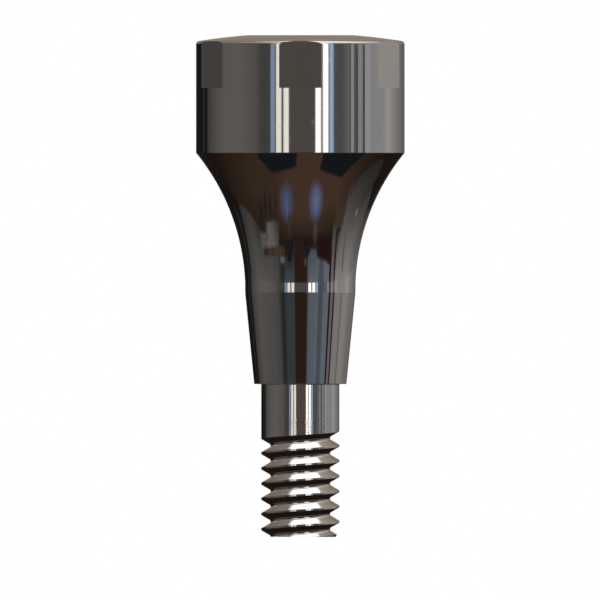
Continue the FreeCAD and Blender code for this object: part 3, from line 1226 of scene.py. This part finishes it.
# Soft ovals on the boards: name, layer, middle, half width and height in degrees, and tone.
POOLS = (
    ("shade_left", 3, (-66, -35), (26, 9), (0.042, 0.033, 0.033)),
    # The next four are painted reflections of the two windows on the boards: soft pools with brighter cores.
    ("pool_left", 3, (-26.5, -47), (16, 13.5), (0.105, 0.145, 0.30)),
    ("pool_right", 3, (30, -47), (16, 13.5), (0.155, 0.225, 0.44)),
    ("core_left", 4, (-25.5, -44), (3.4, 8.5), (0.12, 0.18, 0.40)),
    ("core_right", 4, (31, -46), (4.2, 9), (0.17, 0.26, 0.52)),
    ("tail_left", 4, (-21.5, -35), (4.5, 9), (0.074, 0.056, 0.058)),
    ("tail_right", 4, (29.5, -31.5), (6.5, 10), (0.100, 0.084, 0.082)),
    ("streak_one", 4, (-76.5, -34), (3.0, 9), (0.024, 0.015, 0.013)),
    ("streak_two", 4, (-67, -38), (2.4, 12), (0.028, 0.018, 0.016)),
    ("streak_three", 4, (-58, -40), (3.2, 10), (0.030, 0.019, 0.017)),
    ("streak_four", 4, (-47.5, -43), (2.2, 12), (0.032, 0.020, 0.018)),
)


def direction(azimuth, elevation):
    """A unit vector from an azimuth off the camera's side and an elevation, in degrees."""
    side, up = math.radians(azimuth), math.radians(elevation)
    return Vector((math.sin(side) * math.cos(up), -math.cos(side) * math.cos(up), math.sin(up)))


def emitter_material():
    """Cards glow with their own tone, and fade out where their cover is less than 1."""
    material, graph = new_material("studio_card")
    colour = graph.add("ShaderNodeAttribute", {"attribute_name": "tone"}, output="Color")
    cover = graph.add("ShaderNodeAttribute", {"attribute_name": "cover"}, output="Fac")
    glow = graph.add("ShaderNodeEmission", None, {"Color": colour})
    clear = graph.add("ShaderNodeBsdfTransparent")
    mixed = graph.add("ShaderNodeMixShader", None, {0: cover, 1: clear, 2: glow})
    graph.add("ShaderNodeOutputMaterial", None, {"Surface": mixed})
    material.cycles.emission_sampling = "NONE"
    return material


def stage_card(name, layer, distance, columns, tones, material, covers=None):
    """A patch of a sphere round the object, from columns of directions, seen only in reflections."""
    radius = distance * (1.0 - LAYER_STEP * layer)
    rows = len(columns[0])
    points = [direction(*place) * radius for column in columns for place in column]
    faces = []
    for i in range(len(columns) - 1):
        for k in range(rows - 1):
            low = i * rows + k
            faces.append((low, low + 1, low + rows + 1, low + rows))
    mesh = bpy.data.meshes.new(name)
    mesh.from_pydata(points, [], faces)
    mesh.materials.append(material)
    colour = mesh.attributes.new("tone", "FLOAT_COLOR", "POINT")
    colour.data.foreach_set("color", [part for tone in tones for part in (*tone, 1.0)])
    cover = mesh.attributes.new("cover", "FLOAT", "POINT")
    cover.data.foreach_set("value", covers or [1.0] * len(points))
    card = new_object(name, mesh)
    only_mirrored(card)


def only_mirrored(card):
    """The card shows in polished metal, and neither in the picture nor in the light on the floor."""
    for ray in ("camera", "diffuse", "transmission", "volume_scatter", "shadow"):
        setattr(card, f"visible_{ray}", False)


def tone_pair(tone, studio):
    """The linear colours at a station's low and high end."""
    pair = tone if isinstance(tone, tuple) else (tone, tone)
    lights = {"daylight": tuple(studio.daylight)}
    return [np.array({**TONES, **lights}[end] if isinstance(end, str) else (end,) * 3) for end in pair]


def tone_at(place, azimuths, tones):
    """The tone at an azimuth, from the tones at the stations."""
    return np.array([np.interp(place, azimuths, part) for part in tones.T])


def card_columns(stations, studio):
    """Columns of directions and their tones, close enough together for a round surface."""
    azimuths, lows, highs = (np.array(part, float) for part in list(zip(*stations))[:3])
    pairs = np.array([tone_pair(station[3], studio) for station in stations])
    places = [azimuths[0]]
    for left, right in zip(azimuths, azimuths[1:]):
        count = max(1, math.ceil((right - left) / CARD_STEP))
        places.extend(np.linspace(left, right, count + 1)[1:])
    rows = max(1, math.ceil(float((highs - lows).max()) / CARD_STEP)) + 1
    columns, tones = [], []
    for place in places:
        low, high = np.interp(place, azimuths, lows), np.interp(place, azimuths, highs)
        columns.append([(place, level) for level in np.linspace(low, high, rows)])
        low_tone, high_tone = (tone_at(place, azimuths, pairs[:, end]) for end in (0, 1))
        for share in np.linspace(0, 1, rows):
            tones.append(tuple(low_tone * (1 - share) + high_tone * share))
    return columns, tones


def pool_card(name, layer, place, halves, tone, distance, material):
    """A soft oval of light or shade that fades towards its edge."""
    columns, covers = [], []
    steps = np.linspace(-1, 1, POOL_POINTS)
    for u in steps:
        columns.append([(place[0] + u * halves[0], place[1] + v * halves[1]) for v in steps])
        covers.extend(max(0.0, 1.0 - u * u - v * v) ** 1.5 for v in steps)
    stage_card(name, layer, distance, columns, [tone] * len(covers), material, covers)


def pale_floor(studio, level):
    """A wide pale floor under the post, which is seen only from above.

    The polished metal mirrors the cards in its place."""
    half = FLOOR_HALF_WIDTH
    corners = [(-half, -half, level), (half, -half, level), (half, half, level), (-half, half, level)]
    mesh = bpy.data.meshes.new("floor")
    mesh.from_pydata(corners, [], [(0, 1, 2, 3)])
    floor = new_object("floor", mesh)
    floor.visible_glossy = False
    material, graph = new_material("pale_floor")
    mottle = graph.noise(graph.add("ShaderNodeTexCoord", output="Object"), 900.0, 3.0)
    colour = graph.blend(mottle, shade(studio.floor, 0.985), studio.floor)
    shader = graph.add("ShaderNodeBsdfPrincipled", None, {"Base Color": colour, "Roughness": 0.8})
    clear = graph.add("ShaderNodeBsdfTransparent")
    underside = graph.add("ShaderNodeNewGeometry", output="Backfacing")
    mixed = graph.add("ShaderNodeMixShader", None, {0: underside, 1: shader, 2: clear})
    graph.add("ShaderNodeOutputMaterial", None, {"Surface": mixed})
    mesh.materials.append(material)


def soft_lamp(name, place, energy):
    lamp = bpy.data.lights.new(name, "SUN")
    lamp.energy = energy
    lamp.angle = LAMP_ANGLE
    holder = new_object(name, lamp)
    holder.rotation_mode = "QUATERNION"
    holder.rotation_quaternion = direction(*place).to_track_quat("Z", "Y")
    holder.visible_glossy = False


def white_world(studio):
    """White for camera, mirrored and transmitted rays, and a softer even light for the rest."""
    world = bpy.data.worlds.new("studio_world")
    bpy.context.scene.world = world
    world.use_nodes = True
    graph = Graph(world.node_tree)
    rays = graph.add("ShaderNodeLightPath", output="Is Camera Ray")
    mirrored = rays + rays.also("Is Glossy Ray")
    seen = rays.math("ADD", mirrored, rays.also("Is Transmission Ray"), clamp=True)
    strength = studio.sky_light + seen * (1.0 - studio.sky_light)
    white = (1.0, 1.0, 1.0, 1.0)
    background = graph.add("ShaderNodeBackground", None, {"Color": white, "Strength": strength})
    graph.add("ShaderNodeOutputWorld", None, {"Surface": background})


def photo_camera():
    """Level with the post, square to one flat, and framed as the photograph is."""
    data = bpy.data.cameras.new("photo_camera")
    data.type = "ORTHO"
    data.ortho_scale = FRAME_WIDTH
    data.clip_start = 0.001
    data.clip_end = 5.0
    camera = new_object("photo_camera", data)
    camera.location = (FRAME_MIDDLE[0], -CAMERA_DISTANCE, FRAME_MIDDLE[1])
    camera.rotation_euler = (math.pi / 2, 0.0, 0.0)
    bpy.context.scene.camera = camera


class ABUTMENT_OT_build_studio(bpy.types.Operator):
    """Sets up the floor, the cards that the metal mirrors, the lamps and the camera."""

    bl_idname = "abutment.build_studio"
    bl_label = "Build studio"
    bl_options = {"REGISTER", "UNDO"}

    def execute(self, context):
        scene = context.scene
        studio = scene.studio_settings
        levels = PostLevels(in_mm(scene.post_sizes))
        material = emitter_material()
        for name, layer, stations in CARDS:
            columns, tones = card_columns(stations, studio)
            stage_card(name, layer, studio.card_distance, columns, tones, material)
        for name, layer, place, halves, tone in POOLS:
            pool_card(name, layer, place, halves, tone, studio.card_distance, material)
        pale_floor(studio, levels.thread_end * MM - FLOOR_CLEARANCE)
        soft_lamp("key_lamp", KEY_PLACE, studio.key_light)
        soft_lamp("fill_lamp", FILL_PLACE, studio.fill_light)
        white_world(studio)
        photo_camera()
        scene.view_settings.view_transform = "Standard"
        return {"FINISHED"}


class ABUTMENT_PT_sidebar(bpy.types.Panel):
    """Lists the steps and the settings that they use."""

    bl_idname = "ABUTMENT_PT_sidebar"
    bl_label = "Magnetic abutment"
    bl_space_type = "VIEW_3D"
    bl_region_type = "UI"
    bl_category = "Abutment"

    def draw(self, context):
        scene = context.scene
        for step in STEPS:
            self.layout.operator(step.bl_idname)
        for group in (scene.post_sizes, scene.inside_sizes, scene.finish_tones, scene.studio_settings):
            box = self.layout.box()
            for name in group.bl_rna.properties.keys():
                if name not in ("rna_type", "name"):
                    box.prop(group, name)


STEPS = (
    ABUTMENT_OT_build_post,
    ABUTMENT_OT_build_lid,
    ABUTMENT_OT_build_magnet,
    ABUTMENT_OT_build_studio,
)
GROUPS = {
    "post_sizes": PostSizes,
    "inside_sizes": InsideSizes,
    "finish_tones": FinishTones,
    "studio_settings": StudioSettings,
}


def register():
    for cls in (*GROUPS.values(), *STEPS, ABUTMENT_PT_sidebar):
        bpy.utils.register_class(cls)
    for name, group in GROUPS.items():
        setattr(bpy.types.Scene, name, PointerProperty(type=group))


def unregister():
    for name in GROUPS:
        delattr(bpy.types.Scene, name)
    for cls in (ABUTMENT_PT_sidebar, *STEPS[::-1], *reversed(GROUPS.values())):
        bpy.utils.unregister_class(cls)


def main():
    register()
    bpy.ops.abutment.build_post()
    bpy.ops.abutment.build_lid()
    bpy.ops.abutment.build_magnet()
    bpy.ops.abutment.build_studio()


if __name__ == "__main__":
    main()
